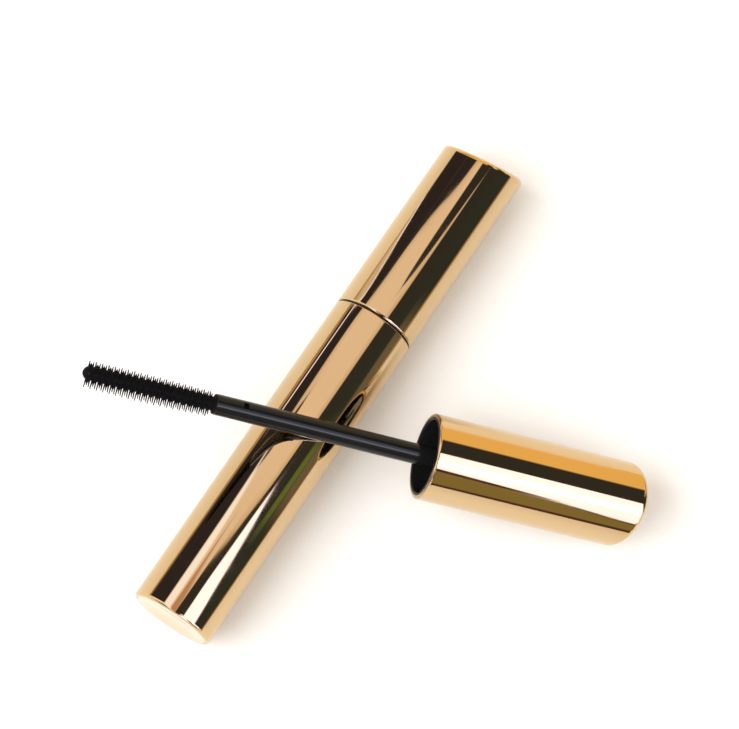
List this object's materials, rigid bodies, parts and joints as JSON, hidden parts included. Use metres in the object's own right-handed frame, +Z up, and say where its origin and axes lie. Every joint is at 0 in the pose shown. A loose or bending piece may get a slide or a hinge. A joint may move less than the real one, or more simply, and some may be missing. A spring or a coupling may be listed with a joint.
{
  "type": "mascara tube",
  "caption": "Round mirror-gold mascara with a slant-cut screw cap, lying closed on its side, with a second open applicator and its comb brush resting across it.",
  "frame": {"origin": "on the resting surface, under the middle of the whole object's box", "axes": "+Z up; the closed mascara's axis runs along +Y, from its base to its cap; the second applicator lies across it with its cap towards +X"},
  "size_m": [0.1164, 0.1278, 0.0327],
  "materials": {
    "gold_shell": "mirror-polished gold anodised shell",
    "gold_trim": "gold anodised, polished, slightly softer than the shells",
    "vial_plastic": "black glossy moulded plastic",
    "black_liner": "black satin moulded plastic",
    "stem_plastic": "black gloss moulded plastic",
    "brush_elastomer": "black soft moulded elastomer",
    "wiper_plastic": "natural soft polyethylene, stained by the mascara",
    "gasket_foam": "white polyethylene foam washer"
  },
  "bodies": {
    "bottle": {"bottle_sleeve": "gold_shell", "base_plug": "gold_trim", "vial": "vial_plastic", "shoulder_collar": "gold_trim", "wiper": "wiper_plastic"},
    "seam_ring": {"slip_ring": "black_liner"},
    "applicator": {"cap_shell": "gold_shell", "cap_liner": "black_liner", "neck_gasket": "gasket_foam", "stem": "stem_plastic", "brush": "brush_elastomer"},
    "open_applicator": {"open_cap_shell": "gold_shell", "open_cap_liner": "black_liner", "open_neck_gasket": "gasket_foam", "open_stem": "stem_plastic", "open_brush": "brush_elastomer"}
  },
  "joints": [
    {"name": "cap_unscrew", "type": "hinge", "parent": "bottle", "child": "seam_ring", "pos_m": [-0.01383, 0.01492, 0.0095], "axis": [0, 1, 0], "range_deg": [0, 540]},
    {"name": "applicator_pull", "type": "slide", "parent": "seam_ring", "child": "applicator", "axis": [0, 1, 0], "range_m": [0, 0.1], "deforming": ["wiper"]},
    {"name": "open_applicator_lift", "type": "slide", "parent": "bottle", "child": "open_applicator", "axis": [0, 0, 1], "range_m": [0, 0.1]}
  ]
}
